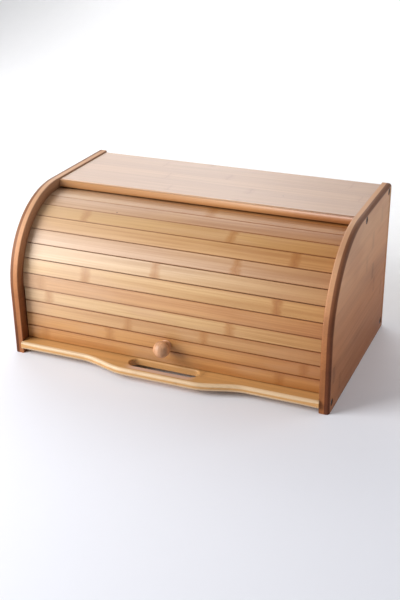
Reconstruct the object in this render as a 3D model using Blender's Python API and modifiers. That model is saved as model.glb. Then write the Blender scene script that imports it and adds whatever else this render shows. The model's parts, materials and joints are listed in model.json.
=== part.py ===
"""Bread box with a roll-top door.

Two side panels carry a base board, a top board and a back panel. A door of slats on a
cloth backing runs in a groove in each panel: upright at the front, then round an arc.
Metres, +Z up, front towards -Y. The origin is the middle of the box's footprint.
"""
from math import asin, atan, ceil, cos, pi, radians, sin, tan

import bmesh
import bpy
from mathutils import Matrix, Vector

# Overall sizes
WIDTH = 0.390
PANEL_DEPTH = 0.231
HEIGHT = 0.186

# Side panels
PANEL_THICK = 0.012
ARC_RADIUS = 0.104
PANEL_ROUND = 0.0045

# Base board and its lip
BASE_THICK = 0.009
BASE_RAISE = 0.007
LIP_LEDGE = 0.0035
LIP_BULGE = 0.0135
LIP_FLAT = 0.042
LIP_SWEEP = 0.060
LIP_ROUND = 0.0042
SLOT_LENGTH = 0.085
SLOT_FRONT_WALL = 0.0125
SLOT_WIDTH = 0.0165
SLOT_ROUND = 0.002

# Top board
TOP_THICK = 0.010
TOP_DROP = 0.0018
TOP_SETBACK = 0.1095
TOP_ROUND = 0.0042
BOARD_BACK_INSET = 0.002

# Back panel
BACK_THICK = 0.005
BACK_INSET = 0.007
BACK_TONGUE = 0.004

# Door
FACE_INSET = 0.013
SLAT_THICK = 0.007
SLAT_GAP = 0.0008
SLAT_EDGE = 0.0005
UPRIGHT_SLATS = 4
ARC_SLATS = 9
ARC_COVER = radians(100.8)
TRAVEL = radians(112.0)
TONGUE = 0.004
GROOVE_DEPTH = 0.005
GROOVE_PLAY = 0.0008
GROOVE_OVERRUN = radians(4.0)
CLOTH_THICK = 0.0008
CLOTH_MARGIN = 0.001
CLOTH_END_INSET = 0.010

# Knob and its screw
KNOB_SLAT = 2
KNOB_RADIUS = 0.0095
KNOB_REACH = 0.013
KNOB_NECK_RADIUS = 0.0048
KNOB_FLARE = 0.0010
KNOB_SCREW_RADIUS = 0.00175
KNOB_SCREW_BITE = 0.010
KNOB_SCREW_HEAD_RADIUS = 0.0035
KNOB_SCREW_HEAD_THICK = 0.002
KNOB_SCREW_HEAD_EASE = 0.0008

# Side screws
SCREW_RADIUS = 0.002
SCREW_LENGTH = 0.034
SCREW_HEAD_RADIUS = 0.004
SCREW_HEAD_THICK = 0.0025
SCREW_SINK = 0.0004
SCREW_TIP = 0.005
SCREW_POINT = 0.4
SCREW_INSET = 0.009

# Fits
TOUCH_GAP = 0.0003
DOOR_GAP = 0.0004
END_PLAY = 0.0004

# Fineness
ARC_STEP = radians(6.0)
TURN_STEPS = 16
KNOB_STEPS = 24
KNOB_RISE_STEPS = 12
LIP_STEPS = 28
SLOT_STEPS = 8
RIM_STEPS = 3
ROUND_STEPS = 4
CUT_OVERRUN = 0.002
MERGE = 0.00001

# Places that follow from the sizes
LIP_REACH = LIP_LEDGE + LIP_BULGE
PANEL_FRONT = -(PANEL_DEPTH - LIP_REACH) / 2
PANEL_BACK = PANEL_FRONT + PANEL_DEPTH
INNER_X = WIDTH / 2 - PANEL_THICK
BOARD_X = INNER_X - TOUCH_GAP
BOARD_BACK = PANEL_BACK - BOARD_BACK_INSET
BASE_TOP = BASE_RAISE + BASE_THICK
TOP_UPPER = HEIGHT - TOP_DROP
TOP_LOWER = TOP_UPPER - TOP_THICK
ARC_Y = PANEL_FRONT + ARC_RADIUS
ARC_Z = HEIGHT - ARC_RADIUS
FACE_RADIUS = ARC_RADIUS - FACE_INSET
BACK_RADIUS = FACE_RADIUS - SLAT_THICK
UPRIGHT_PITCH = (ARC_Z - BASE_TOP - DOOR_GAP) / UPRIGHT_SLATS
UPRIGHT_ANGLE = 2 * atan(UPRIGHT_PITCH / 2 / BACK_RADIUS)
ARC_ANGLE = ARC_COVER / ARC_SLATS
ARC_PITCH = 2 * BACK_RADIUS * tan(ARC_ANGLE / 2)

WOODS = {
    "bamboo_red": ((0.36, 0.14, 0.06), 0.35),
    "bamboo_tan": ((0.60, 0.33, 0.16), 0.32),
    "bamboo_light": ((0.72, 0.47, 0.25), 0.32),
    "bamboo_honey": ((0.62, 0.34, 0.13), 0.32),
    "cloth": ((0.55, 0.48, 0.38), 0.9),
    "screw_steel": ((0.10, 0.08, 0.07), 0.4),
}


def clear_scene():
    for thing in list(bpy.data.objects):
        bpy.data.objects.remove(thing, do_unlink=True)


def new_collection(name):
    group = bpy.data.collections.new(name)
    bpy.context.scene.collection.children.link(group)
    return group


def finish_material(name):
    """A Principled material in the piece's own colour and gloss."""
    if name in bpy.data.materials:
        return bpy.data.materials[name]
    colour, roughness = WOODS[name]
    material = bpy.data.materials.new(name)
    material.use_nodes = True
    shader = material.node_tree.nodes["Principled BSDF"]
    shader.inputs["Base Color"].default_value = (*colour, 1.0)
    shader.inputs["Roughness"].default_value = roughness
    shader.inputs["Metallic"].default_value = 1.0 if name == "screw_steel" else 0.0
    return material


def add_piece(name, mesh, material):
    """Link a mesh as a named piece of the box."""
    piece = bpy.data.objects.new(name, mesh)
    mesh.materials.append(finish_material(material))
    parts.objects.link(piece)
    return piece


def add_cutter(name, mesh):
    cutter = bpy.data.objects.new(name, mesh)
    cutter.hide_render = True
    cutter.display_type = 'WIRE'
    cutters.objects.link(cutter)
    return cutter


def cut(piece, cutter):
    change = piece.modifiers.new("cut_" + cutter.name, 'BOOLEAN')
    change.operation = 'DIFFERENCE'
    change.solver = 'EXACT'
    change.object = cutter


def hang_on(piece, pivot):
    """Parent a piece to the empty on its joint's axis, leaving it where it is."""
    piece.parent = pivot
    piece.matrix_parent_inverse = pivot.matrix_world.inverted()


def new_pivot(name, y, z):
    pivot = bpy.data.objects.new(name, None)
    pivot.location = (0, y, z)
    pivot.empty_display_size = 0.02
    parts.objects.link(pivot)
    bpy.context.view_layer.update()
    return pivot


def prism(name, outline, start, length, place, rounded=None):
    """Extrude a closed outline of (u, v) points. place turns (u, v, w) into a position."""
    shape = bmesh.new()
    weight = shape.edges.layers.float.new("bevel_weight_edge")
    corners = [shape.verts.new(place(u, v, start)) for u, v in outline]
    face = shape.faces.new(corners)
    for i, corner in enumerate(outline):
        following = (i + 1) % len(outline)
        if rounded and rounded(corner, outline[following]):
            shape.edges.get((corners[i], corners[following]))[weight] = 1.0
    raised = bmesh.ops.extrude_face_region(shape, geom=[face])["geom"]
    lift = place(0, 0, length) - place(0, 0, 0)
    bmesh.ops.translate(shape, verts=[v for v in raised if isinstance(v, bmesh.types.BMVert)], vec=lift)
    bmesh.ops.recalc_face_normals(shape, faces=shape.faces)
    mesh = bpy.data.meshes.new(name)
    shape.to_mesh(mesh)
    shape.free()
    return mesh


def round_edges(piece, radius):
    """Round over the edges that were marked when the outline was extruded."""
    bevel = piece.modifiers.new("round", 'BEVEL')
    bevel.width = radius
    bevel.segments = ROUND_STEPS
    bevel.limit_method = 'WEIGHT'


def side_view(u, v, w):
    """An outline drawn in (Y, Z) and extruded along X."""
    return Vector((w, u, v))


def plan_view(u, v, w):
    """An outline drawn in (X, Y) and extruded along Z."""
    return Vector((u, v, w))


def arc_point(radius, angle):
    """A point on the door's arc. Angle 0 faces forward and pi/2 faces up."""
    return (ARC_Y - radius * cos(angle), ARC_Z + radius * sin(angle))


def arc_points(radius, start, end):
    steps = max(2, ceil(abs(end - start) / ARC_STEP))
    return [arc_point(radius, start + (end - start) * i / steps) for i in range(steps + 1)]


def turned_profile(name, profile):
    """The profile of a turned shape: (radius, height) points, from its top to its foot."""
    mesh = bpy.data.meshes.new(name)
    points = [(radius, 0, height) for radius, height in profile]
    mesh.from_pydata(points, [(i, i + 1) for i in range(len(points) - 1)], [])
    return mesh


def turn(piece, steps, axis, foot):
    """Turn a profile about its own Z, and lay that along axis with its height 0 at foot."""
    lathe = piece.modifiers.new("lathe", 'SCREW')
    lathe.steps = steps
    lathe.render_steps = steps
    lathe.use_merge_vertices = True
    lathe.merge_threshold = MERGE
    lathe.use_smooth_shade = True
    upright = Vector((0, 0, 1)).rotation_difference(axis)
    piece.matrix_world = Matrix.Translation(foot) @ upright.to_matrix().to_4x4()
    return piece


def panel_outline():
    """The side panel's outline: flat foot, round front shoulder, flat top and back."""
    shoulder = arc_points(ARC_RADIUS, 0, pi / 2)
    return [(PANEL_FRONT, 0), *shoulder, (PANEL_BACK, HEIGHT), (PANEL_BACK, 0)]


def shows_at_front(a, b):
    """Only the front, the shoulder and the top of a panel are rounded over."""
    at_foot = a[1] == 0 and b[1] == 0
    at_back = a[0] == PANEL_BACK and b[0] == PANEL_BACK
    return not (at_foot or at_back)


def groove_outline():
    """The door's track: an upright run that starts under the door and a long arc."""
    outer = FACE_RADIUS + GROOVE_PLAY
    inner = BACK_RADIUS - GROOVE_PLAY
    end = ARC_COVER + TRAVEL + GROOVE_OVERRUN
    foot = BASE_TOP - CUT_OVERRUN
    rising = arc_points(outer, 0, end)
    falling = arc_points(inner, end, 0)
    return [(ARC_Y - outer, foot), *rising, *falling, (ARC_Y - inner, foot)]


def screw_places():
    """(Y, Z) of the screws through each panel, with the board each one holds."""
    top_z = (TOP_UPPER + TOP_LOWER) / 2
    base_z = BASE_RAISE + BASE_THICK / 2
    top_front = PANEL_FRONT + TOP_SETBACK + SCREW_INSET
    back = BOARD_BACK - SCREW_INSET
    return {
        "top_front": (top_front, top_z),
        "top_back": (back, top_z),
        "base_front": (PANEL_FRONT + SCREW_INSET, base_z),
        "base_back": (back, base_z),
    }


def screw_profile(play=0.0, tail=0.0):
    """Countersunk screw from its head to its tip; play makes the hole that takes it."""
    body = SCREW_RADIUS + play
    head = SCREW_HEAD_RADIUS + play
    cone = SCREW_LENGTH - SCREW_HEAD_THICK
    top = SCREW_LENGTH + tail
    face = [(0, top), (head, top)]
    if tail:
        face.append((head, SCREW_LENGTH))
    return [*face, (body, cone), (body, SCREW_TIP - play), (body * SCREW_POINT, -play), (0, -play)]


def make_side_screws():
    """Eight screws, heads outwards, and the hole that each one runs in."""
    tip_x = WIDTH / 2 - SCREW_SINK - SCREW_LENGTH
    for side, label in ((-1, "left"), (1, "right")):
        for spot, (y, z) in screw_places().items():
            name = "screw_" + label + "_" + spot
            foot = Vector((side * tip_x, y, z))
            outward = Vector((side, 0, 0))
            screw = add_piece(name, turned_profile(name, screw_profile()), "screw_steel")
            turn(screw, TURN_STEPS, outward, foot)
            bore = turned_profile("hole_" + name, screw_profile(TOUCH_GAP, CUT_OVERRUN))
            turn(add_cutter("hole_" + name, bore), TURN_STEPS, outward, foot)


def cut_screw_holes(piece, sides, spots):
    for label in sides:
        for spot in spots:
            cut(piece, bpy.data.objects["hole_screw_" + label + "_" + spot])


def make_side_panels():
    """Panels with the door's groove, the back panel's groove and four screw holes."""
    back_y = PANEL_BACK - BACK_INSET
    back_groove = [
        (back_y - BACK_THICK - TOUCH_GAP, BASE_TOP - CUT_OVERRUN),
        (back_y + TOUCH_GAP, BASE_TOP - CUT_OVERRUN),
        (back_y + TOUCH_GAP, TOP_LOWER + CUT_OVERRUN),
        (back_y - BACK_THICK - TOUCH_GAP, TOP_LOWER + CUT_OVERRUN),
    ]
    for side, label in ((-1, "left"), (1, "right")):
        name = "side_panel_" + label
        mesh = prism(name, panel_outline(), side * INNER_X, side * PANEL_THICK, side_view, shows_at_front)
        panel = add_piece(name, mesh, "bamboo_red")
        round_edges(panel, PANEL_ROUND)
        start = side * (INNER_X - CUT_OVERRUN)
        track = prism("track", groove_outline(), start, side * (GROOVE_DEPTH + CUT_OVERRUN), side_view)
        cut(panel, add_cutter("track_" + label, track))
        depth = BACK_TONGUE + TOUCH_GAP + CUT_OVERRUN
        slit = prism("slit", back_groove, start, side * depth, side_view)
        cut(panel, add_cutter("back_groove_" + label, slit))
        cut_screw_holes(panel, [label], screw_places())


def ease(t):
    """A smooth step from 0 to 1."""
    t = min(1.0, max(0.0, t))
    return t * t * (3 - 2 * t)


def lip_front(x):
    """The wavy front of the base board: a ledge with a bulge in the middle."""
    bulge = 1 - ease((abs(x) - LIP_FLAT) / LIP_SWEEP)
    return PANEL_FRONT - LIP_LEDGE - LIP_BULGE * bulge


def slot_loop(grow):
    """The hand slot's outline, a slot with half-round ends, grown by a margin."""
    radius = SLOT_WIDTH / 2
    half = SLOT_LENGTH / 2 - radius
    middle = PANEL_FRONT - LIP_REACH + SLOT_FRONT_WALL + radius
    points = []
    for side in (1, -1):
        for i in range(SLOT_STEPS + 1):
            angle = side * (pi / 2 - pi * i / SLOT_STEPS)
            points.append((side * (half + (radius + grow) * cos(angle)),
                           middle + (radius + grow) * sin(angle)))
    return points


def slot_levels():
    """(height, grow) of the slot's wall: straight, with both rims rounded over."""
    sweeps = [pi / 2 * i / RIM_STEPS for i in range(RIM_STEPS + 1)]
    levels = [(SLOT_ROUND * (1 - cos(sweep)), SLOT_ROUND * (1 - sin(sweep))) for sweep in sweeps]
    low = [(BASE_RAISE + h, grow) for h, grow in levels]
    high = [(BASE_TOP - h, grow) for h, grow in reversed(levels)]
    return [(BASE_RAISE - CUT_OVERRUN, SLOT_ROUND), *low, *high, (BASE_TOP + CUT_OVERRUN, SLOT_ROUND)]


def slot_cutter():
    shape = bmesh.new()
    rings = [[shape.verts.new((x, y, z)) for x, y in slot_loop(grow)] for z, grow in slot_levels()]
    for low, high in zip(rings, rings[1:]):
        for i in range(len(low)):
            j = (i + 1) % len(low)
            shape.faces.new((low[i], low[j], high[j], high[i]))
    shape.faces.new(rings[0])
    shape.faces.new(rings[-1])
    bmesh.ops.recalc_face_normals(shape, faces=shape.faces)
    mesh = bpy.data.meshes.new("slot")
    shape.to_mesh(mesh)
    shape.free()
    return mesh


def make_base_board():
    """Floor of the box, standing out in front as a rounded lip with a hand slot."""
    steps = [-BOARD_X + 2 * BOARD_X * i / LIP_STEPS for i in range(LIP_STEPS + 1)]
    front = [(x, lip_front(x)) for x in steps]
    outline = [*front, (BOARD_X, BOARD_BACK), (-BOARD_X, BOARD_BACK)]
    mesh = prism("base_board", outline, BASE_RAISE, BASE_THICK, plan_view,
                 lambda a, b: a[1] < PANEL_FRONT and b[1] < PANEL_FRONT)
    board = add_piece("base_board", mesh, "bamboo_honey")
    round_edges(board, LIP_ROUND)
    cut(board, add_cutter("hand_slot", slot_cutter()))
    cut_screw_holes(board, ["left", "right"], ["base_front", "base_back"])


def make_top_board():
    """Fixed lid between the panels, with a rounded front edge over the door."""
    front = PANEL_FRONT + TOP_SETBACK
    outline = [(-BOARD_X, front), (BOARD_X, front), (BOARD_X, BOARD_BACK), (-BOARD_X, BOARD_BACK)]
    mesh = prism("top_board", outline, TOP_LOWER, TOP_THICK, plan_view,
                 lambda a, b: a[1] == b[1] == front)
    board = add_piece("top_board", mesh, "bamboo_tan")
    round_edges(board, TOP_ROUND)
    cut_screw_holes(board, ["left", "right"], ["top_front", "top_back"])


def make_back_panel():
    """Thin board that closes the back, its ends in the panels' grooves."""
    low = BASE_TOP + TOUCH_GAP
    high = TOP_LOWER - TOUCH_GAP
    outer = PANEL_BACK - BACK_INSET
    outline = [(outer - BACK_THICK, low), (outer, low), (outer, high), (outer - BACK_THICK, high)]
    half = INNER_X + BACK_TONGUE
    add_piece("back_panel", prism("back_panel", outline, -half, 2 * half, side_view), "bamboo_light")


def slat_outline(pitch, at, angle):
    """A slat's section: a board with eased corners, its back against the cloth."""
    half = (pitch - SLAT_GAP) / 2
    corner = SLAT_EDGE
    section = [
        (0, -half + corner), (corner, -half), (SLAT_THICK - corner, -half), (SLAT_THICK, -half + corner),
        (SLAT_THICK, half - corner), (SLAT_THICK - corner, half), (corner, half), (0, half - corner),
    ]
    return [on_track(at, angle, out, up) for out, up in section]


def on_track(at, angle, out, up):
    """A point given by how far out from the cloth side and how far up along the door."""
    y = at[0] - out * cos(angle) + up * sin(angle)
    z = at[1] + out * sin(angle) + up * cos(angle)
    return (y, z)


def upright_place(index):
    """Back middle of an upright slat; index 0 is the one just below the arc."""
    return (ARC_Y - BACK_RADIUS, ARC_Z - UPRIGHT_PITCH * (index + 0.5))


def upright_turn(index):
    """How far an upright slat turns as the door opens fully."""
    return TRAVEL - UPRIGHT_ANGLE * (index + 0.5)


def upright_pole(index):
    """The point about which an upright slat turns from its closed to its open place."""
    closed = Vector(upright_place(index))
    turn = upright_turn(index)
    opened = Vector(arc_point(BACK_RADIUS, turn))
    middle = (closed + opened) / 2
    half = (opened - closed) / 2
    return middle + Vector((half.y, -half.x)) / tan(turn / 2)


def slat_name(number):
    return "slat_" + str(number).zfill(2)


def number_of_upright(index):
    """Slats are numbered from the bottom of the closed door."""
    return UPRIGHT_SLATS - index


def slat_wood(number):
    """The slats were sawn from canes of three shades, in no strict order."""
    return ("bamboo_honey", "bamboo_honey", "bamboo_light", "bamboo_light", "bamboo_tan")[number % 5]


def cloth_section(at, angle, half):
    """A flat strip of cloth behind one slat."""
    near = -TOUCH_GAP
    far = near - CLOTH_THICK
    return [on_track(at, angle, out, up) for out, up in ((near, -half), (near, half), (far, half), (far, -half))]


def across_x(name, outline, half_length, wood):
    return add_piece(name, prism(name, outline, -half_length, 2 * half_length, side_view), wood)


def make_upright_slats():
    """The four lower slats, each with its strip of cloth, on a pivot of its own."""
    for index in range(UPRIGHT_SLATS):
        number = number_of_upright(index)
        at = upright_place(index)
        pole = upright_pole(index)
        pivot = new_pivot("pivot_" + slat_name(number), pole.x, pole.y)
        slat = across_x(slat_name(number), slat_outline(UPRIGHT_PITCH, at, 0),
                        INNER_X - END_PLAY, slat_wood(number))
        half = (UPRIGHT_PITCH - SLAT_GAP) / 2 - CLOTH_MARGIN
        strip = across_x("cloth_strip_" + str(number).zfill(2), cloth_section(at, 0, half),
                         INNER_X - CLOTH_END_INSET, "cloth")
        hang_on(slat, pivot)
        hang_on(strip, pivot)
        if number == KNOB_SLAT:
            make_knob(at[1], pivot)
            hole = bpy.data.objects["knob_hole"]
            cut(slat, hole)
            cut(strip, hole)


def make_arc_slats():
    """The upper slats and their cloth, which turn together about the arc's centre."""
    pivot = new_pivot("pivot_tambour", ARC_Y, ARC_Z)
    for index in range(ARC_SLATS):
        angle = ARC_ANGLE * (index + 0.5)
        number = UPRIGHT_SLATS + 1 + index
        outline = slat_outline(ARC_PITCH, arc_point(BACK_RADIUS, angle), angle)
        slat = across_x(slat_name(number), outline, INNER_X + TONGUE, slat_wood(number))
        hang_on(slat, pivot)
    inset = CLOTH_MARGIN / BACK_RADIUS
    near = BACK_RADIUS - TOUCH_GAP
    outline = arc_points(near, inset, ARC_COVER - inset)
    outline += arc_points(near - CLOTH_THICK, ARC_COVER - inset, inset)
    hang_on(across_x("tambour_cloth", outline, INNER_X - CLOTH_END_INSET, "cloth"), pivot)


def knob_profile():
    """A ball on a short flared neck, from its crown to the foot of the neck."""
    neck_angle = pi - asin(KNOB_NECK_RADIUS / KNOB_RADIUS)
    sweeps = [neck_angle * i / KNOB_RISE_STEPS for i in range(KNOB_RISE_STEPS + 1)]
    ball = [(KNOB_RADIUS * sin(a), KNOB_REACH + KNOB_RADIUS * cos(a)) for a in sweeps]
    foot = KNOB_NECK_RADIUS + KNOB_FLARE
    return [*ball, (KNOB_NECK_RADIUS, TOUCH_GAP + KNOB_FLARE), (foot, TOUCH_GAP), (0, TOUCH_GAP)]


def knob_screw_profile(length):
    """Pan-headed screw from its head to its point; length is under the head."""
    crown = length + KNOB_SCREW_HEAD_THICK
    brim = crown - KNOB_SCREW_HEAD_EASE
    return [
        (0, crown), (KNOB_SCREW_HEAD_RADIUS - KNOB_SCREW_HEAD_EASE, crown),
        (KNOB_SCREW_HEAD_RADIUS, brim), (KNOB_SCREW_HEAD_RADIUS, length),
        (KNOB_SCREW_RADIUS, length), (KNOB_SCREW_RADIUS, KNOB_SCREW_RADIUS), (0, 0),
    ]


def make_knob(z, pivot):
    """Ball knob on the front of its slat, held by a screw from behind."""
    face = Vector((0, ARC_Y - FACE_RADIUS, z))
    forward = Vector((0, -1, 0))
    knob = add_piece("knob", turned_profile("knob", knob_profile()), "bamboo_tan")
    turn(knob, KNOB_STEPS, forward, face)
    point = face + forward * KNOB_SCREW_BITE
    length = KNOB_SCREW_BITE + SLAT_THICK + TOUCH_GAP + CLOTH_THICK + TOUCH_GAP
    screw = add_piece("knob_screw", turned_profile("knob_screw", knob_screw_profile(length)), "screw_steel")
    turn(screw, TURN_STEPS, -forward, point)
    wide = KNOB_SCREW_RADIUS + TOUCH_GAP
    top = length - TOUCH_GAP / 2
    bore = turned_profile("knob_hole", [(0, top), (wide, top), (wide, -TOUCH_GAP), (0, -TOUCH_GAP)])
    cut(knob, turn(add_cutter("knob_hole", bore), TURN_STEPS, -forward, point))
    bpy.context.view_layer.update()
    hang_on(knob, pivot)
    hang_on(screw, pivot)


clear_scene()
parts = new_collection("bread_box")
cutters = new_collection("cutters")
make_side_screws()
make_side_panels()
make_base_board()
make_top_board()
make_back_panel()
make_upright_slats()
make_arc_slats()
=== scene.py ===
"""Looks of a bamboo bread box with a roll-top door.

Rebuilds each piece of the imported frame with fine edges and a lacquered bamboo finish.
Metres, +Z up, front towards -Y. The origin is the middle of the box's footprint.
"""
import json
from math import asin, cos, dist, pi, radians, sin, tan

import bmesh
import bpy
from bpy.props import FloatProperty, FloatVectorProperty, IntProperty, PointerProperty
from mathutils import Matrix, Vector


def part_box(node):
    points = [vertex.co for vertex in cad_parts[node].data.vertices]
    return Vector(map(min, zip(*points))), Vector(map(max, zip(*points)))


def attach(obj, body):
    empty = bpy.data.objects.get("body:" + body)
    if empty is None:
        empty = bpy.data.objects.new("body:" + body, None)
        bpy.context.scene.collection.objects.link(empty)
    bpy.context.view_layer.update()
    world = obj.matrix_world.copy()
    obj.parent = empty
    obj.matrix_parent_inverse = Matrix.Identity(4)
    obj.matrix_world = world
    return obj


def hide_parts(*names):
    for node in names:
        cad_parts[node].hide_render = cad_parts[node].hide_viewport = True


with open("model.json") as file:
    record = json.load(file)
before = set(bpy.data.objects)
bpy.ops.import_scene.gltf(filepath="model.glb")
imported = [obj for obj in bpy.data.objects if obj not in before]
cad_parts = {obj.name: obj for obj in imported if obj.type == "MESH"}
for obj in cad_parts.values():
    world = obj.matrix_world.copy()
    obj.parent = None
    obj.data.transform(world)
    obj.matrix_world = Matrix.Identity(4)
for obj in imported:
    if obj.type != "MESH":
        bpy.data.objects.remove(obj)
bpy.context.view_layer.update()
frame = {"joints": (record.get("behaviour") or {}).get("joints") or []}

bl_info = {
    "name": "Bread Box",
    "version": (1, 0, 0),
    "blender": (4, 5, 0),
    "location": "View3D > Sidebar > Bread Box",
    "description": "Builds a bamboo bread box with a roll-top door",
    "category": "Add Mesh",
}

MM = 0.001

# Places read from the frame
panel_low, panel_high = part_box("side_panel_right")
base_low, base_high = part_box("base_board")
top_low, top_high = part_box("top_board")
back_low, back_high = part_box("back_panel")
upright_low, upright_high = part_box("slat_01")
arc_slat_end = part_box("slat_05")[1].x
cloth_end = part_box("tambour_cloth")[1].x
strip_low, strip_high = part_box("cloth_strip_01")
knob_low, knob_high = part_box("knob")

HINGE = next(joint for joint in frame["joints"] if joint["child"] == "tambour")
ARC_Y, ARC_Z = HINGE["pos_m"][1], HINGE["pos_m"][2]
TRAVEL = radians(HINGE["range_deg"][1])
ARC_RADIUS = ARC_Y - panel_low.y
FACE_RADIUS = ARC_Y - upright_low.y
BACK_RADIUS = ARC_Y - upright_high.y
SLAT_THICK = upright_high.y - upright_low.y
SLAT_WIDTH = upright_high.z - upright_low.z
INNER_X = panel_low.x

UPRIGHT_SLATS = 4
ARC_SLATS = 9
ARC_ANGLE = radians(100.8) / ARC_SLATS
SCREW_SPOTS = ("top_front", "top_back", "base_front", "base_back")
SIDES = (("left", -1), ("right", 1))

# Cuts and fits
CUT_PAST = 2 * MM
CUT_START = 1 * MM
TOUCH_GAP = 0.3 * MM
SHARP_EDGE = 0.1 * MM
LID_PLAY = 0.02 * MM
TRACK_DEPTH = 5 * MM
TRACK_PLAY = 0.8 * MM
TRACK_OVERRUN = radians(4)
CLOTH_MARGIN = 1 * MM

# Knob and screws
KNOB_NECK = 4.8 * MM
SINK_DEPTH = 3 * MM
SINK_BRIM = 0.4 * MM
SIDE_HEAD_THICK, SIDE_SHANK = 2.5 * MM, 2 * MM
PAN_HEAD_THICK, PAN_SHANK = 2 * MM, 1.75 * MM
SCREW_TIP = 5 * MM
CROSS_DEPTH = 1.3 * MM

# Pin holes: X and how many slats up the curve on the door, X and Y on the lid
DOOR_PIN = (-0.086, 6.15)
LID_PIN = (0.089, 0.041)

# Fineness
SHOULDER_STEPS = 48
TRACK_STEPS = 90
LIP_STEPS = 120
SLOT_STEPS = 16
RIM_STEPS = 6
HOLE_STEPS = 32
KNOB_STEPS = 64
KNOB_RISE_STEPS = 40
CLOTH_COLUMNS = 24
CLOTH_ROWS = 60
STRIP_ROWS = 4
BEND_STEPS = 16

# Stains, grain, floor paint, and painted light and shade, mixed into a finish or multiplied over it
LID_NOSE = (0.62, 0.29, 0.095)
# Painted shade: darkens the right end of the lid's front edge
LID_NOSE_RIGHT_SHADE = (0.60, 0.43, 0.34)
# Painted sheen on the bar in front of the hand slot
GRIP_BAR_SHEEN = (0.60, 0.41, 0.33)
# Painted light: lighter upper part of the side panels
PANEL_TOP_LIGHT = (0.68, 0.44, 0.28)
PANEL_MOTTLE = (0.66, 0.52, 0.46)
# Painted shade: darker foot of the side panels
PANEL_FOOT_SHADE = (0.50, 0.37, 0.26)
# Painted shade on the inner face of the side panels
PANEL_INSIDE_SHADE = (0.40, 0.30, 0.24)
# Painted shade on the outer round of the panels' front edges, more on the right panel
PANEL_RIM_SHADE = (0.36, 0.28, 0.23)
PANEL_RIM_RIGHT_SHADE = (0.70, 0.52, 0.46)
CANE_FIBRE = (0.72, 0.60, 0.46)
# Painted shade: darkens the slats towards the right, away from the key lamp
CANE_RIGHT_SHADE = (0.80, 0.63, 0.40)
# Painted shade inside pin holes, which the meshes don't cut
PIN_HOLE_SHADE = (0.09, 0.04, 0.02)
FLOOR_BEHIND = (0.96, 0.96, 0.97)

# Grain: how fast it changes per metre along the fibres, and per metre across them
FIBRES = (9.0, 520.0)
STREAKS = (3.5, 130.0)
PATCHES = (5.0, 16.0)
MOTTLE = (9.0, 30.0)
LANE_SHIFT = 40.37


# ---- settings

def length(name, description, default):
    """A property in metres."""
    return FloatProperty(name=name, description=description, default=default, unit='LENGTH')


def colour(name, description, default):
    """A colour property."""
    return FloatVectorProperty(name=name, description=description, default=default, subtype='COLOR')


class BreadBoxSizes(bpy.types.PropertyGroup):
    """Sizes of the fine edges and details."""
    panel_round: length("Panel round", "Radius of the side panels' rounded edge", 4.5 * MM)
    inner_round: length("Inner round", "Radius of the side panels' inner edge", 1.6 * MM)
    lip_round: length("Lip round", "Radius of the lip's rounded edge", 4.2 * MM)
    board_ease: length("Board edge", "Radius sanded on the boards' other edges", 0.5 * MM)
    slat_corner: length("Slat corner", "Radius on the long corners of the slats", 0.3 * MM)
    face_gap: length("Face gap", "Gap between the faces of the slats on the curve", 0.6 * MM)
    lip_ledge: length("Lip ledge", "How far the lip's ends stand out", 3.5 * MM)
    lip_overlap: length("Lip overlap", "How far the lip's ends reach past the panels' faces",
                               1.4 * MM)
    lip_flat: length("Lip flat", "Half length of the lip's straight middle", 42 * MM)
    lip_sweep: length("Lip sweep", "Length of each sweep from the lip's middle to its ends",
                             60 * MM)
    slot_length: length("Slot length", "Length of the hand slot", 85 * MM)
    slot_width: length("Slot width", "Width of the hand slot", 16.5 * MM)
    slot_wall: length("Slot wall", "Wood left in front of the hand slot", 12.5 * MM)
    slot_round: length("Slot round", "Radius on the hand slot's rims", 2 * MM)
    cane_width: length("Cane width", "Width of the strips that the boards are glued from",
                              20 * MM)
    knuckle_pitch: length("Knuckle pitch", "Distance between a cane's knuckles", 0.24)
    thread: length("Thread", "Pitch of the cloth's weave", 1.1 * MM)
    round_steps: IntProperty(name="Rounding steps", description="Facets across a rounded edge",
                             default=6)


class BreadBoxFinish(bpy.types.PropertyGroup):
    """Colours of the lacquered bamboo, the screws and the stage."""
    pale: colour("Pale cane", "Palest slats", (0.6, 0.395, 0.22))
    cream: colour("Cream cane", "Cream slats", (0.62, 0.385, 0.172))
    straw: colour("Straw cane", "Yellowish slats", (0.61, 0.365, 0.15))
    rose: colour("Rose cane", "Pinkish slats", (0.53, 0.3, 0.165))
    honey: colour("Honey cane", "Honey coloured slats", (0.575, 0.325, 0.137))
    blush: colour("Blush cane", "Pale pinkish slat", (0.55, 0.335, 0.195))
    tan: colour("Tan cane", "Tan slats", (0.55, 0.278, 0.108))
    amber: colour("Amber cane", "Orange slats low on the door", (0.53, 0.248, 0.072))
    panel: colour("Panel", "Side panels", (0.49, 0.20, 0.074))
    lid: colour("Lid", "Top board", (0.42, 0.225, 0.115))
    base: colour("Base", "Base board", (0.55, 0.285, 0.095))
    # The lip's round is paler than the board: partly the wood's own tone and partly painted light
    # on the round
    lip_edge: colour("Lip edge", "Bare rounded edge of the lip", (0.65, 0.45, 0.26))
    burnt: colour("Burnt", "Knuckle marks", (0.34, 0.125, 0.032))
    singe: colour("Singe", "Stain round a cane's knuckle", (0.40, 0.165, 0.034))
    # Painted sheen: the slats are paler towards the left, where the key lamp's sheen falls; it is
    # not bleached lacquer
    faded: colour("Faded", "Lacquer bleached by daylight", (0.84, 0.72, 0.56))
    joint: colour("Joint", "Stain along the edges of the slats", (0.32, 0.11, 0.018))
    knob: colour("Knob", "Turned knob", (0.56, 0.29, 0.15))
    cloth: colour("Cloth", "Backing cloth of the door", (0.25, 0.14, 0.075))
    steel: colour("Steel", "Dark screws", (0.045, 0.037, 0.033))
    floor: colour("Floor", "Stage floor", (0.79, 0.8, 0.86))


# ---- node trees

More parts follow.
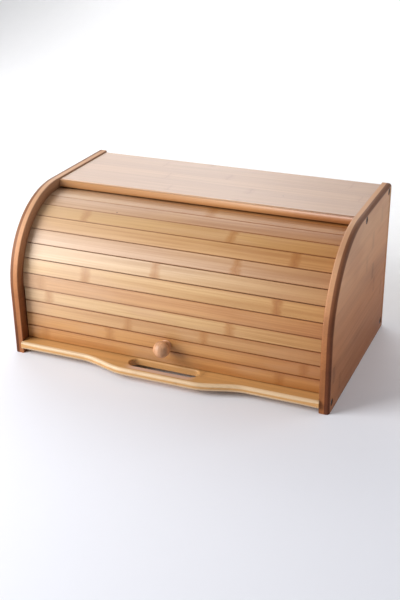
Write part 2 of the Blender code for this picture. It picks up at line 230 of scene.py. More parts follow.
def unary(operation):
    """A method that feeds a flow to a maths node."""
    return lambda self: self.graph.maths(operation, self)


def binary(operation):
    """A method that feeds a flow and another value to a maths node."""
    return lambda self, other: self.graph.maths(operation, self, other)


def swapped(operation):
    """The same as binary, with the other value first."""
    return lambda self, other: self.graph.maths(operation, other, self)


class Flow:
    """A value on its way through a node tree, which can be used in an expression."""

    def __init__(self, graph, socket):
        self.graph = graph
        self.socket = socket

    __add__ = __radd__ = binary('ADD')
    __mul__ = __rmul__ = binary('MULTIPLY')
    __sub__, __rsub__ = binary('SUBTRACT'), swapped('SUBTRACT')
    __truediv__, __rtruediv__ = binary('DIVIDE'), swapped('DIVIDE')
    __abs__ = unary('ABSOLUTE')
    floor, fract = unary('FLOOR'), unary('FRACT')
    sine, cosine = unary('SINE'), unary('COSINE')

    def __neg__(self):
        return self * -1.0

    def smooth(self, low, high, start=0.0, end=1.0):
        """Ease from start to end as the value goes from low to high."""
        settings = {"interpolation_type": 'SMOOTHSTEP'}
        sockets = {"Value": self, "From Min": low, "From Max": high, "To Min": start, "To Max": end}
        return self.graph.add('ShaderNodeMapRange', settings, sockets)["Result"]

    def fade(self, low, high):
        """Ease from 1 to 0 as the value goes from low to high."""
        return self.smooth(low, high, 1.0, 0.0)


class Made:
    """A node, whose outputs are read by name as flows."""

    def __init__(self, graph, node):
        self.graph = graph
        self.node = node

    def __getitem__(self, name):
        return Flow(self.graph, self.node.outputs[name])


class Graph:
    """Builds a shader or geometry node tree."""

    def __init__(self, tree):
        self.tree = tree

    def feed(self, socket, value):
        """Link a flow to a socket, or set the socket's value."""
        if isinstance(value, Flow):
            self.tree.links.new(value.socket, socket)
        elif socket.type == 'RGBA' and len(value) == 3:
            socket.default_value = (*value, 1.0)
        else:
            socket.default_value = value

    def add(self, kind, settings=None, sockets=None):
        """Add a node: its settings first, then the values or links of its sockets."""
        node = self.tree.nodes.new(kind)
        for key, value in (settings or {}).items():
            if key == "stops":
                self.set_stops(node.color_ramp, value)
            else:
                setattr(node, key, value)
        for key, value in (sockets or {}).items():
            self.feed(node.inputs[key], value)
        return Made(self, node)

    @staticmethod
    def set_stops(ramp, stops):
        """Fill a colour ramp with steps of (place, colour)."""
        ramp.interpolation = 'CONSTANT'
        while len(ramp.elements) < len(stops):
            ramp.elements.new(1.0)
        for element, (place, colour) in zip(ramp.elements, stops):
            element.position = place
            element.color = (*colour, 1.0)

    def maths(self, operation, *values):
        sockets = dict(enumerate(values))
        return self.add('ShaderNodeMath', {"operation": operation}, sockets)["Value"]

    def vector(self, x, y, z):
        return self.add('ShaderNodeCombineXYZ', None, {"X": x, "Y": y, "Z": z})["Vector"]

    def blend(self, factor, low, high, mode='MIX'):
        """Mix two colours."""
        settings = {"data_type": 'RGBA', "blend_type": mode, "clamp_factor": True}
        made = self.add('ShaderNodeMix', settings)
        colours = [socket for socket in made.node.inputs if socket.type == 'RGBA']
        self.feed(made.node.inputs["Factor"], factor)
        self.feed(colours[0], low)
        self.feed(colours[1], high)
        result = [socket for socket in made.node.outputs if socket.type == 'RGBA'][0]
        return Flow(self, result)

    def layers(self, light, *layers):
        """Lay colours over one another: a layer is (factor, colour) and perhaps a mode."""
        for factor, *over in layers:
            light = self.blend(factor, light, *over)
        return light


class Finish(Graph):
    """A material whose Principled shader is fed by expressions."""

    def __init__(self, name):
        self.material = bpy.data.materials.new(name)
        self.material.use_nodes = True
        super().__init__(self.material.node_tree)
        self.shader = self.tree.nodes["Principled BSDF"]
        place = self.add('ShaderNodeTexCoord')["Object"]
        split = self.add('ShaderNodeSeparateXYZ', None, {"Vector": place})
        self.axes = {axis: split[axis] for axis in "XYZ"}

    def set(self, **values):
        """Feed the shader's inputs by name."""
        for name, value in values.items():
            self.feed(self.shader.inputs[name.replace("_", " ")], value)

    def noise(self, along, stretch, detail=2.0, shift=0.0):
        """Noise drawn out along one axis: stretch is (per metre along, per metre across)."""
        scaled = [self.axes[axis] * stretch[0 if axis == along else 1] + shift for axis in "XYZ"]
        sockets = {"Vector": self.vector(*scaled), "Scale": 1.0,
                   "Detail": detail, "Roughness": 0.55}
        return self.add('ShaderNodeTexNoise', None, sockets)["Fac"]

    def chance(self, number):
        """A fixed random value from 0 to 1 for each whole number."""
        line = {"noise_dimensions": '1D'}
        return self.add('ShaderNodeTexWhiteNoise', line, {"W": number})["Value"]

    def attribute(self, name):
        return self.add('ShaderNodeAttribute', {"attribute_name": name})["Fac"]

    def pin_hole(self, light, place):
        """Painted shade: a small dark spot for a hole left by a pin at a place on the object."""
        sockets = {0: self.vector(*self.axes.values()), 1: place}
        apart = self.add('ShaderNodeVectorMath', {"operation": 'DISTANCE'}, sockets)["Value"]
        return self.blend(apart.smooth(0.5 * MM, 1.3 * MM, 0.8, 0.0), light, PIN_HOLE_SHADE)

    def bump(self, height, strength, distance):
        sockets = {"Height": height, "Strength": strength, "Distance": distance}
        self.set(Normal=self.add('ShaderNodeBump', None, sockets)["Normal"])


# ---- finishes

def dim(colour, factor):
    """A darker or lighter shade of a colour."""
    return tuple(min(1.0, part * factor) for part in colour)


def lacquer(finish, colour, fibres, patches, knuckle, coat=0.35, gloss=0.4):
    """Clear coat, gloss and fine relief over a bamboo colour."""
    finish.set(Base_Color=colour,
               Roughness=0.44 + fibres * 0.14 + patches * 0.08,
               Coat_Weight=coat,
               Coat_Roughness=0.34,
               Specular_IOR_Level=gloss)
    finish.bump(fibres * 0.35 + knuckle * 0.9, 0.35, 0.25 * MM)


def knuckle_mark(finish, distance, fibres):
    """Where a cane had its joint: a stain that frays along the fibres, and a thin core."""
    frayed = distance + (fibres - 0.5) * (9.0 * MM)
    stain = frayed.fade(2.0 * MM, 8.0 * MM)
    core = distance.fade(0.3 * MM, 1.6 * MM)
    return stain, core


def bamboo_board(name, shade, settings, grain, across, seed=0.0, coat=0.35, gloss=0.4,
                 marks=1.0, stains_and_painted_light=None, pins=()):
    """Bamboo strips glued side by side, each with its own tone and knuckles.

    grain is the axis along the strips and across the one over them. marks is the strength
    of the knuckles, the next argument lays stain, mottle, painted light and painted shade
    over the colour, and pins are the places of pin holes.
    """
    tones, sizes = settings
    finish = Finish(name)
    along = finish.axes[grain]
    lanes = finish.axes[across] / sizes.cane_width + LANE_SHIFT
    lane = lanes.floor() + seed
    tone = finish.chance(lane)
    start = finish.chance(lane + 0.5) * sizes.knuckle_pitch
    fibres = finish.noise(grain, FIBRES, 3.0, seed)
    streaks = finish.noise(grain, STREAKS, 2.0, seed + 3.0)
    patches = finish.noise(grain, PATCHES, 1.0, seed + 7.0)
    wander = (finish.noise(grain, (120.0, 160.0), 2.0, 5.0) - 0.5) * (6.0 * MM)
    turn = ((along + start + wander) / sizes.knuckle_pitch).fract()
    distance = abs(turn - 0.5) * sizes.knuckle_pitch
    stain, core = knuckle_mark(finish, distance, fibres)
    seam = abs(lanes.fract() - 0.5).smooth(0.487, 0.5)
    light = finish.layers(
        dim(shade, 0.80),
        (tone * 0.5 + streaks * 0.5, dim(shade, 1.20)),
        (fibres.smooth(0.35, 0.75) * 0.45, dim(shade, 0.62)),
        (patches.smooth(0.35, 0.75) * 0.25, dim(shade, 1.30)),
        (stain * (0.10 + 0.45 * finish.chance(lane + 9.0)) * marks, dim(tones.burnt, 0.7)),
        (core * (0.35 * marks), dim(tones.burnt, 0.5)),
        (seam * 0.30, dim(tones.burnt, 0.8)))
    if stains_and_painted_light:
        light = stains_and_painted_light(finish, light, sizes)
    for place in pins:
        light = finish.pin_hole(light, place)
    lacquer(finish, light, fibres, patches, stain * 0.3 - seam * 0.4, coat, gloss)
    return finish.material


def stained_nose(finish, light, _):
    """Lid: more stain on the rounded front edge, and painted shade that darkens the edge towards
    its right end.
    """
    nose = finish.axes["Y"].fade(top_low.y + 2.5 * MM, top_low.y + 4.5 * MM)
    # Painted shade: the front edge grows darker towards the right, away from the key lamp
    right = finish.axes["X"].smooth(0.04, 0.17)
    return finish.layers(light, (nose * 0.75, LID_NOSE),
                         (nose * right * 0.80, LID_NOSE_RIGHT_SHADE, 'MULTIPLY'))


def worn_grip(finish, light, sizes):
    """Base board: painted sheen, a paler colour on the bar in front of the hand slot."""
    front = base_low.y + sizes.lip_round
    back = base_low.y + sizes.slot_wall
    end = sizes.slot_length / 2
    bar = finish.axes["Y"].smooth(front - 0.2 * MM, front + 1.8 * MM)
    bar = bar * finish.axes["Y"].fade(back, back + 1.5 * MM)
    middle = abs(finish.axes["X"]).fade(end - 12.5 * MM, end + 3.5 * MM)
    # Painted sheen: the bar's top is paled as if it caught a reflection
    return finish.blend(bar * middle * 0.80, light, GRIP_BAR_SHEEN)


def stained_rim(finish, light, _):
    """Side panels: painted light on the upper part, a random mottle, and painted shade low down, on
    the inner face and on the outer round, most on the right panel's round.
    """
    out = abs(finish.axes["X"])
    outside = panel_high.x
    # Painted shade on the outer round of each panel's front edge
    rim = out.smooth(outside - 6.4 * MM, outside - 5.2 * MM)
    rim = rim * out.fade(outside - 0.5 * MM, outside - 0.1 * MM)
    # Painted shade on the inner face
    inside = out.fade(INNER_X + 0.2 * MM, INNER_X + 1.2 * MM)
    # Painted shade low down and painted light higher up
    low = finish.axes["Z"].fade(0.0, 0.13)
    high = finish.axes["Z"].smooth(0.07, 0.19)
    mottled = finish.noise("Y", MOTTLE, 2.0, 41.0).smooth(0.46, 0.66)
    right = finish.axes["X"].smooth(0.0, 0.05)
    # Layers: painted light, random mottle, then painted shade low down, on the inner face and on
    # the outer round
    return finish.layers(
        light,
        (high * 0.55, PANEL_TOP_LIGHT),
        (mottled * 0.30, PANEL_MOTTLE, 'MULTIPLY'),
        (low * 0.70, PANEL_FOOT_SHADE, 'MULTIPLY'),
        (inside * 0.60, PANEL_INSIDE_SHADE, 'MULTIPLY'),
        (rim * 0.90, PANEL_RIM_SHADE, 'MULTIPLY'),
        (rim * right * 0.60, PANEL_RIM_RIGHT_SHADE, 'MULTIPLY'))


# The shade of each slat, from the bottom of the closed door
CANE_SHADES = ("amber", "amber", "honey", "cream", "tan", "cream", "pale", "blush", "honey",
               "straw", "rose", "rose", "tan")


def bamboo_slats(name, tones):
    """One strip of cane for each slat; its number and knuckle places are attributes."""
    finish = Finish(name)
    cane = finish.attribute("cane")
    count = len(CANE_SHADES)
    stops = [(i / count, getattr(tones, shade)) for i, shade in enumerate(CANE_SHADES)]
    number = (cane - 0.5) / count
    ramp = finish.add('ShaderNodeValToRGB', {"stops": stops}, {"Fac": number})["Color"]
    drift = cane * 3.7
    fibres = finish.noise("X", (8.0, 560.0), 3.0)
    streaks = finish.noise("X", (3.0, 190.0), 2.0, drift)
    patches = finish.noise("X", (9.0, 30.0), 1.0, drift + 8.0)
    blush = finish.noise("X", (11.0, 50.0), 2.0, drift + 21.0)
    wander = (finish.noise("X", (110.0, 150.0), 2.0, 2.0) - 0.5) * (7.0 * MM)
    place = finish.axes["X"] + wander
    near = finish.maths('MINIMUM', abs(place - finish.attribute("knuckle_a")),
                        abs(place - finish.attribute("knuckle_b")))
    stain, core = knuckle_mark(finish, near, fibres)
    deep = finish.blend(1.0, ramp, CANE_FIBRE, 'MULTIPLY')
    scorch = 0.45 + 0.55 * finish.noise("X", (60.0, 90.0), 1.0, 6.0)
    soaked = abs(finish.attribute("across")).smooth(0.84, 0.96)
    # Painted sheen on the left of the slats, less on the lowest ones
    left_sheen_mask = finish.axes["X"].fade(-0.19, 0.06) * cane.smooth(1.5, 4.5)
    # Painted shade towards the right end of the slats
    right = finish.axes["X"].smooth(0.02, 0.18)
    # The last two layers are painted sheen on the left and painted shade on the right
    light = finish.layers(
        ramp,
        (streaks.smooth(0.35, 0.68) * 0.70, deep),
        (fibres.smooth(0.42, 0.66) * 0.55, deep),
        (patches.smooth(0.45, 0.75) * 0.25, tones.straw),
        (blush.smooth(0.48, 0.72) * 0.40, tones.rose),
        (stain * scorch, tones.singe),
        (core * 0.30, tones.burnt),
        (soaked * 0.70, tones.joint),
        (left_sheen_mask * 0.20, tones.faded),
        (right * 0.90, CANE_RIGHT_SHADE, 'MULTIPLY'))
    across, up = DOOR_PIN
    light = finish.pin_hole(light, (across, *arc_point(FACE_RADIUS, ARC_ANGLE * up)))
    lacquer(finish, light, fibres, patches, stain * 0.4, coat=0.55)
    return finish.material


def turned_wood(name, shade, tones):
    """Turned wood of the knob, with upright grain."""
    finish = Finish(name)
    fibres = finish.noise("Z", (60.0, 600.0), 3.0)
    rings = finish.noise("Z", (20.0, 170.0), 2.0, 3.0)
    light = finish.layers(dim(shade, 0.78), (rings.smooth(0.3, 0.7), dim(shade, 1.25)),
                          (fibres.smooth(0.4, 0.7) * 0.35, tones.burnt))
    lacquer(finish, light, fibres, rings, rings * 0.1)
    return finish.material


def woven_cloth(name, shade, thread):
    """Plain weave that follows the cloth, from its own UV map in metres."""
    finish = Finish(name)
    place = finish.add('ShaderNodeUVMap', {"uv_map": "UVMap"})["UV"]
    split = finish.add('ShaderNodeSeparateXYZ', None, {"Vector": place})
    warp = abs((split["X"] * (pi / thread)).sine())
    weft = abs((split["Y"] * (pi / thread)).sine())
    checks = (split["X"] / thread).floor() + (split["Y"] / thread).floor()
    over = (checks / 2.0).fract() * 2.0
    threads = over * warp + (1.0 - over) * weft
    sockets = {"Vector": place, "Scale": 60.0, "Detail": 3.0}
    worn = finish.add('ShaderNodeTexNoise', None, sockets)["Fac"]
    light = finish.layers(dim(shade, 0.45), (threads, dim(shade, 1.15)),
                          (worn.smooth(0.35, 0.7) * 0.3, dim(shade, 0.7)))
    finish.set(Base_Color=light, Roughness=0.92)
    finish.bump(threads, 0.6, 0.3 * MM)
    return finish.material


def dark_steel(name, shade):
    """Blackened screws with a little rub on the high spots."""
    finish = Finish(name)
    sockets = {"Vector": finish.vector(*finish.axes.values()), "Scale": 900.0, "Detail": 3.0}
    rub = finish.add('ShaderNodeTexNoise', None, sockets)["Fac"]
    finish.set(Base_Color=finish.blend(rub.smooth(0.45, 0.7), shade, dim(shade, 3.0)),
               Metallic=0.85,
               Roughness=0.32 + rub * 0.25)
    finish.bump(rub, 0.15, 0.05 * MM)
    return finish.material


def floor_finish(name, shade):
    """Matt sweep, a little paler behind the box than in front of it."""
    finish = Finish(name)
    grain = finish.noise("X", (40.0, 40.0), 2.0)
    depth = finish.axes["Y"].smooth(-0.25, 0.45)
    paint = finish.layers(shade, (depth, FLOOR_BEHIND), (grain * 0.15, dim(shade, 0.97)))
    finish.set(Base_Color=paint, Roughness=0.6 + grain * 0.1)
    return finish.material


# ---- mesh work

def place_object(name, data):
    """Link a mesh, lamp or camera to the scene as an object."""
    thing = bpy.data.objects.new(name, data)
    bpy.context.scene.collection.objects.link(thing)
    return thing


def place_shape(name, shape, closed=True):
    """Turn a bmesh into an object; the faces of a closed one are turned outwards."""
    mesh = bpy.data.meshes.new(name)
    if closed:
        bmesh.ops.recalc_face_normals(shape, faces=shape.faces)
    shape.to_mesh(mesh)
    shape.free()
    return place_object(name, mesh)


def rectangle(left, low, right, high):
    """The corners of a rectangle, as an outline."""
    return [(left, low), (right, low), (right, high), (left, high)]


def prism(name, outline, start, end, place, weight_of=None):
    """Extrude an outline of (u, v) points; weight_of gives each rim edge's share of the bevel."""
    shape = bmesh.new()
    weight = shape.edges.layers.float.new("bevel_weight_edge")
    rings = [[shape.verts.new(place(u, v, w)) for u, v in outline] for w in (start, end)]
    shape.faces.new(rings[0])
    shape.faces.new(rings[1])
    count = len(outline)
    for i in range(count):
        j = (i + 1) % count
        shape.faces.new((rings[0][i], rings[0][j], rings[1][j], rings[1][i]))
        if weight_of:
            for ring, end_at in zip(rings, (start, end)):
                edge = shape.edges.get((ring[i], ring[j]))
                edge[weight] = weight_of(outline[i], outline[j], end_at)
    return place_shape(name, shape)


def side_view(u, v, w):
    """An outline drawn in (Y, Z) and extruded along X."""
    return Vector((w, u, v))


def plan_view(u, v, w):
    """An outline drawn in (X, Y) and extruded along Z."""
    return Vector((u, v, w))


def turned(name, profile, steps, place):
    """Turn a profile of (radius, height) points; its ends lie on the axis."""
    shape = bmesh.new()
    rings = []
    for radius, height in profile:
        if radius == 0:
            rings.append([shape.verts.new(place(0, 0, height))])
            continue
        angles = [2 * pi * i / steps for i in range(steps)]
        spots = [place(radius * cos(a), radius * sin(a), height) for a in angles]
        rings.append([shape.verts.new(spot) for spot in spots])
    for low, high in zip(rings, rings[1:]):
        for i in range(steps):
            j = (i + 1) % steps
            corners = [low[i % len(low)], low[j % len(low)],
                       high[j % len(high)], high[i % len(high)]]
            shape.faces.new(list(dict.fromkeys(corners)))
    return place_shape(name, shape)


def arc_point(radius, angle):
    """A point (Y, Z) on the door's arc. Angle 0 faces forward and pi/2 faces up."""
    return (ARC_Y - radius * cos(angle), ARC_Z + radius * sin(angle))


def spread(start, end, steps):
    """Evenly spaced values from start to end."""
    return [start + (end - start) * i / steps for i in range(steps + 1)]


def arc_points(radius, start, end, steps):
    """Points along the door's arc."""
    return [arc_point(radius, angle) for angle in spread(start, end, steps)]


def cut(piece, cutter):
    """Cut one piece's shape out of another."""
    change = piece.modifiers.new("cut", 'BOOLEAN')
    change.operation = 'DIFFERENCE'
    change.solver = 'EXACT'
    change.object = cutter
    cutter.hide_render = True
    return cutter


def soften(piece, radius, segments, second_finish=False):
    """Round the weighted edges over; second_finish gives the rounds the next material."""
    bevel = piece.modifiers.new("round", 'BEVEL')
    bevel.width = radius
    bevel.segments = segments
    bevel.limit_method = 'WEIGHT'
    if second_finish:
        bevel.material = 1


def bake(thing):
    """Turn an object's modifiers into its mesh."""
    bpy.context.view_layer.update()
    graph = bpy.context.evaluated_depsgraph_get()
    mesh = bpy.data.meshes.new_from_object(thing.evaluated_get(graph), depsgraph=graph)
    thing.modifiers.clear()
    thing.data = mesh
    mesh.name = thing.name
    return mesh


def plain(piece, cutters=(), crease=35.0):
    """Bake a piece with its cuts, with smooth rounds and flat faces."""
    even = piece.modifiers.new("even", 'WEIGHTED_NORMAL')
    even.keep_sharp = True
    for polygon in piece.data.polygons:
        polygon.use_smooth = True
    old = piece.data
    mesh = bake(piece)
    bpy.data.meshes.remove(old)
    mesh.set_sharp_from_angle(angle=radians(crease))
    for cutter in cutters:
        bpy.data.objects.remove(cutter)
    return piece


def dress(piece, body, slot_name, replaced, *materials):
    """Give a finished piece its material, its body and the CAD nodes it stands for."""
    if materials:
        piece.data.materials.clear()
        for material in materials:
            piece.data.materials.append(material)
    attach(piece, body)
    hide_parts(*replaced)


def settings_of(context):
    """The colours and the sizes that the sidebar shows."""
    return context.scene.bread_box_finish, context.scene.bread_box_sizes


# ---- boards

def panel_outline():
    """Flat foot, round front shoulder, flat top and back."""
    shoulder = arc_points(ARC_RADIUS, 0, pi / 2, SHOULDER_STEPS)
    back, top = panel_high.y, panel_high.z
    return [(panel_low.y, 0.0), *shoulder, (back, top), (back, 0.0)]


def panel_weight(sizes, inner):
    """Rims nearer the middle of the box than inner are rounded less than the outer ones."""
    def weight(a, b, end):
        at_foot = a[1] == 0 and b[1] == 0
        at_back = a[0] == b[0] == panel_high.y
        if at_foot or at_back:
            return sizes.board_ease / sizes.panel_round
        return sizes.inner_round / sizes.panel_round if abs(end) < inner else 1.0
    return weight


def groove_outline():
    """The door's track, cut a little wider than a slat is thick."""
    outer = FACE_RADIUS + TRACK_PLAY
    inner = BACK_RADIUS - TRACK_PLAY
    end = ARC_ANGLE * ARC_SLATS + TRAVEL + TRACK_OVERRUN
    foot = base_high.z - CUT_PAST
    rising = arc_points(outer, 0, end, TRACK_STEPS)
    falling = arc_points(inner, end, 0, TRACK_STEPS)
    return [(ARC_Y - outer, foot), *rising, *falling, (ARC_Y - inner, foot)]


def screw_hole(side, label, spot):
    """Countersunk hole around one of the side screws."""
    low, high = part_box("screw_" + label + "_" + spot)
    middle = (low + high) / 2
    head = (high.y - low.y) / 2 + TOUCH_GAP
    shank = head * 0.55
    inside, outside = INNER_X - CUT_START, panel_high.x

    def place(u, v, w):
        return Vector((side * w, middle.y + u, middle.z + v))
    profile = [(0, inside), (shank, inside), (shank, outside - SINK_DEPTH),
               (head, outside - SINK_BRIM), (head, outside + CUT_PAST), (0, outside + CUT_PAST)]
    return turned("hole", profile, HOLE_STEPS, place)


class BREADBOX_OT_side_panels(bpy.types.Operator):
    """Build the two side panels with the door's groove"""
    bl_idname = "bread_box.side_panels"
    bl_label = "Side Panels"

    def execute(self, context):
        tones, sizes = settings_of(context)
        wood = bamboo_board("panel_bamboo", tones.panel, (tones, sizes), "Y", "Z", seed=11.0,
                            coat=0.06, gloss=0.2, stains_and_painted_light=stained_rim)
        front, back = back_low.y - TOUCH_GAP, back_high.y + TOUCH_GAP
        foot, head = base_high.z - CUT_PAST, top_low.z + CUT_PAST
        slit = rectangle(front, foot, back, head)
        weight = panel_weight(sizes, (INNER_X + panel_high.x) / 2)
        for label, side in SIDES:
            ends = sorted((side * INNER_X, side * panel_high.x))
            depth = sorted((side * (INNER_X - CUT_START), side * (INNER_X + TRACK_DEPTH)))
            panel = prism("panel_" + label, panel_outline(), *ends, side_view, weight)
            soften(panel, sizes.panel_round, sizes.round_steps)
            cutters = [cut(panel, prism("track", groove_outline(), *depth, side_view)),
                       cut(panel, prism("slit", slit, *depth, side_view))]
            cutters += [cut(panel, screw_hole(side, label, spot)) for spot in SCREW_SPOTS]
            plain(panel, cutters)
            dress(panel, "case", "panel_wood", ["side_panel_" + label], wood)
        return {'FINISHED'}


def ease(t):
    """A smooth step from 0 to 1."""
    t = min(1.0, max(0.0, t))
    return t * t * (3 - 2 * t)


def lip_front(x, sizes):
    """The wavy front of the base board: a ledge with a bulge in the middle."""
    reach = panel_low.y - sizes.lip_ledge - base_low.y
    bulge = 1 - ease((abs(x) - sizes.lip_flat) / sizes.lip_sweep)
    return panel_low.y - sizes.lip_ledge - reach * bulge


def slot_loop(sizes, grow):
    """The hand slot's outline, with half-round ends, grown by a margin."""
    radius = sizes.slot_width / 2
    half = sizes.slot_length / 2 - radius
    middle = base_low.y + sizes.slot_wall + radius
    points = []
    for side in (1, -1):
        for angle in spread(side * pi / 2, -side * pi / 2, SLOT_STEPS):
            points.append((side * (half + (radius + grow) * cos(angle)),
                           middle + (radius + grow) * sin(angle)))
    return points


def slot_cutter(sizes):
    """The hand slot's hollow, flared at both rims so that the cut is rounded over."""
    flare = sizes.slot_round
    sweeps = spread(0, pi / 2, RIM_STEPS)
    levels = [(flare * (1 - cos(a)), flare * (1 - sin(a))) for a in sweeps]
    low = [(base_low.z + height, grow) for height, grow in levels]
    high = [(base_high.z - height, grow) for height, grow in reversed(levels)]
    stack = [(base_low.z - CUT_PAST, flare), *low, *high, (base_high.z + CUT_PAST, flare)]
    shape = bmesh.new()
    rings = [[shape.verts.new((x, y, z)) for x, y in slot_loop(sizes, grow)] for z, grow in stack]
    for lower, upper in zip(rings, rings[1:]):
        for i in range(len(lower)):
            j = (i + 1) % len(lower)
            shape.faces.new((lower[i], lower[j], upper[j], upper[i]))
    shape.faces.new(rings[0])
    shape.faces.new(rings[-1])
    return place_shape("slot", shape)


class BREADBOX_OT_base_board(bpy.types.Operator):
    """Build the base board with its wavy lip and hand slot"""
    bl_idname = "bread_box.base_board"
    bl_label = "Base Board"

    def execute(self, context):
        tones, sizes = settings_of(context)
        tip = base_high.x + sizes.lip_overlap
        shoulder = panel_low.y - SHARP_EDGE
        front = [tip * (2 * i / LIP_STEPS - 1) for i in range(LIP_STEPS + 1)]
        outline = [(x, lip_front(x, sizes)) for x in front]
        outline += [(tip, shoulder), (base_high.x, shoulder), (base_high.x, base_high.y),
                    (base_low.x, base_high.y), (base_low.x, shoulder), (-tip, shoulder)]

        def weight(a, b, _):
            if a[0] == b[0] or a[1] == b[1] == shoulder:
                return SHARP_EDGE / sizes.lip_round
            if a[1] < shoulder and b[1] < shoulder:
                return 1.0
            return sizes.board_ease / sizes.lip_round
        board = prism("base", outline, base_low.z, base_high.z, plan_view, weight)
        wood = bamboo_board("base_bamboo", tones.base, (tones, sizes), "X", "Y", seed=23.0,
                            marks=0.6, stains_and_painted_light=worn_grip)
        # Paler colour on the lip's round: partly its own tone, partly painted light on the round
        pale_round = bamboo_board("lip_edge_bamboo", tones.lip_edge, (tones, sizes), "X", "Z",
                            seed=31.0, marks=0.2)
        board.data.materials.append(wood)
        board.data.materials.append(pale_round)
        soften(board, sizes.lip_round, sizes.round_steps, True)
        plain(board, [cut(board, slot_cutter(sizes))])
        dress(board, "case", "base_wood", ["base_board"])
        return {'FINISHED'}


class BREADBOX_OT_top_board(bpy.types.Operator):
    """Build the fixed lid with its rounded front edge"""
    bl_idname = "bread_box.top_board"
    bl_label = "Top Board"

    def execute(self, context):
        tones, sizes = settings_of(context)
        side = INNER_X - LID_PLAY
        front = top_low.y
        outline = rectangle(-side, front, side, top_high.y)

        def weight(a, b, _):
            if a[0] == b[0]:
                return SHARP_EDGE / sizes.lip_round
            return 1.0 if a[1] == b[1] == front else sizes.board_ease / sizes.lip_round
        board = prism("lid", outline, top_low.z, top_high.z, plan_view, weight)
        soften(board, sizes.lip_round, sizes.round_steps)
        plain(board)
        wood = bamboo_board("lid_bamboo", tones.lid, (tones, sizes), "X", "Y", seed=47.0, coat=0.85,
                            marks=0.5, stains_and_painted_light=stained_nose, pins=[(*LID_PIN, top_high.z)])
        dress(board, "case", "board_wood", ["top_board"], wood)
        return {'FINISHED'}


class BREADBOX_OT_back_panel(bpy.types.Operator):
    """Build the thin back panel"""
    bl_idname = "bread_box.back_panel"
    bl_label = "Back Panel"

    def execute(self, context):
        tones, sizes = settings_of(context)
        outline = rectangle(back_low.x, back_low.z, back_high.x, back_high.z)
        board = prism("back", outline, back_low.y, back_high.y,
                      lambda u, v, w: Vector((u, w, v)), lambda a, b, _: 1.0)
        soften(board, sizes.board_ease, 2)
        plain(board)
        wood = bamboo_board("back_bamboo", tones.straw, (tones, sizes), "X", "Z", seed=59.0)
        dress(board, "case", "board_wood", ["back_panel"], wood)
        return {'FINISHED'}


# ---- door

def new_tree(name, inputs):
    """An empty geometry tree with named inputs; returns its graph and its input flows."""
    tree = bpy.data.node_groups.new(name, 'GeometryNodeTree')
    for label, kind in inputs.items():
        tree.interface.new_socket(name=label, in_out='INPUT', socket_type=kind)
    tree.interface.new_socket(name="Geometry", in_out='OUTPUT', socket_type='NodeSocketGeometry')
    graph = Graph(tree)
    return graph, graph.add('NodeGroupInput')


def close_tree(graph, instances, material):
    """End a geometry tree with real, painted geometry."""
    real = graph.add('GeometryNodeRealizeInstances', None, {"Geometry": instances})["Geometry"]
    sockets = {"Geometry": real, "Material": material}
    painted = graph.add('GeometryNodeSetMaterial', None, sockets)["Geometry"]
    graph.add('NodeGroupOutput', None, {"Geometry": painted})
    return graph.tree


def slat_tree():
    """Slats with rounded corners, set side by side round an arc, numbered in "cane"."""
    inputs = {"Geometry": 'NodeSocketGeometry', "Count": 'NodeSocketInt'}
    for label in ("First Number", "Centre Y", "Centre Z", "Radius", "First Angle", "Angle Step",
                  "Half Length", "Width", "Face Width", "Thickness", "Corner"):
        inputs[label] = 'NodeSocketFloat'
    inputs["Material"] = 'NodeSocketMaterial'
    graph, given = new_tree("roll_top_slats", inputs)
    section = graph.add('GeometryNodeCurvePrimitiveQuadrilateral', {"mode": 'TRAPEZOID'},
                        {"Bottom Width": given["Face Width"], "Top Width": given["Width"],
                         "Offset": 0.0, "Height": given["Thickness"]})["Curve"]
    rounded = graph.add('GeometryNodeFilletCurve', {"mode": 'POLY'},
                        {"Curve": section, "Radius": given["Corner"], "Count": 4})["Curve"]
    rail = graph.add('GeometryNodeCurvePrimitiveLine', {"mode": 'POINTS'},
                     {"Start": graph.vector(0.0, 0.0, -given["Half Length"]),
                      "End": graph.vector(0.0, 0.0, given["Half Length"])})["Curve"]
    bar = graph.add('GeometryNodeCurveToMesh', None,
                    {"Curve": rail, "Profile Curve": rounded, "Fill Caps": True})["Mesh"]
    slat = graph.add('GeometryNodeTransform', None,
                     {"Geometry": bar, "Rotation": (0.0, pi / 2, 0.0)})["Geometry"]
    number = graph.add('GeometryNodeInputIndex')["Index"]
    angle = given["First Angle"] + number * given["Angle Step"]
    spots = graph.add('GeometryNodeMeshLine', {"mode": 'OFFSET'},
                      {"Count": given["Count"], "Offset": (0.0, 0.0, 0.0)})["Mesh"]
    place = graph.vector(0.0, given["Centre Y"] - given["Radius"] * angle.cosine(),
                         given["Centre Z"] + given["Radius"] * angle.sine())
    spots = graph.add('GeometryNodeSetPosition', None,
                      {"Geometry": spots, "Position": place})["Geometry"]
    lean = graph.vector(-angle, 0.0, 0.0)
    slats = graph.add('GeometryNodeInstanceOnPoints', None,
                      {"Points": spots, "Instance": slat, "Rotation": lean})["Instances"]
    settings = {"data_type": 'FLOAT', "domain": 'INSTANCE'}
    sockets = {"Geometry": slats, "Name": "cane", "Value": given["First Number"] + number}
    named = graph.add('GeometryNodeStoreNamedAttribute', settings, sockets)["Geometry"]
    return close_tree(graph, named, given["Material"])


def grown(name, tree, base_mesh, **inputs):
    """Run a geometry tree on a mesh and bake the result."""
    thing = place_object(name, base_mesh)
    change = thing.modifiers.new("grow", 'NODES')
    change.node_group = tree
    given = [item for item in tree.interface.items_tree if item.in_out == 'INPUT']
    sockets = {item.name: item.identifier for item in given}
    for label, value in inputs.items():
        change[sockets[label.replace("_", " ")]] = value
    mesh = bake(thing)
    for polygon in mesh.polygons:
        polygon.use_smooth = True
    mesh.set_sharp_from_angle(angle=radians(40))
    return thing


